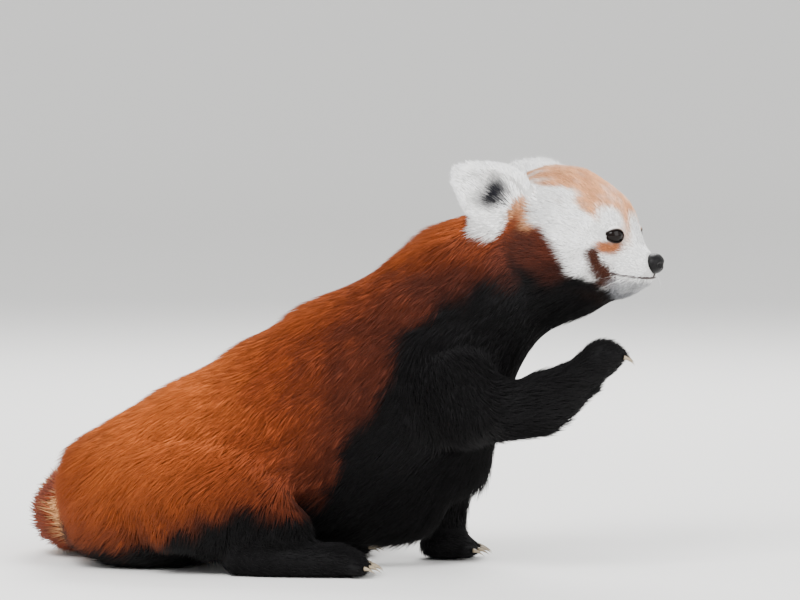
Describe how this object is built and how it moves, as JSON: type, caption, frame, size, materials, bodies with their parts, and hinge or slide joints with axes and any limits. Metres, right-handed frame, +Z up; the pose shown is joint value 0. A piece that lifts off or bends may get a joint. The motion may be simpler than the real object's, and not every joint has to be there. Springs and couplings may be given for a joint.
{
  "type": "red panda",
  "caption": "Life-size still red panda sitting on its rump, head turned a little to its right, right forepaw raised in front of the chest, left forepaw planted, bushy tail curled round its left side.",
  "frame": {"origin": "a point of the flat patch of rump that the animal sits on, on the middle plane of the body", "axes": "+X is the way the body faces, +Y its left side, +Z up"},
  "size_m": [0.5325, 0.354, 0.336],
  "materials": {
    "red_coat": "long dense red-brown coat",
    "pale_coat": "short white and buff coat",
    "black_coat": "dense black coat",
    "ringed_coat": "bushy coat in red-brown and buff rings",
    "wet_black": "moist black",
    "claw": "pale horn"
  },
  "bodies": {
    "root": {"torso": "red_coat", "neck": "red_coat", "head": "pale_coat", "nose": "wet_black", "eye_left": "wet_black", "eye_right": "wet_black", "ear_left": "pale_coat", "ear_right": "pale_coat", "hindleg_left": "black_coat", "hindleg_right": "black_coat", "foreleg_left": "black_coat", "foreleg_right": "black_coat", "tail_1": "ringed_coat", "tail_2": "ringed_coat", "tail_3": "ringed_coat"}
  },
  "joints": []
}
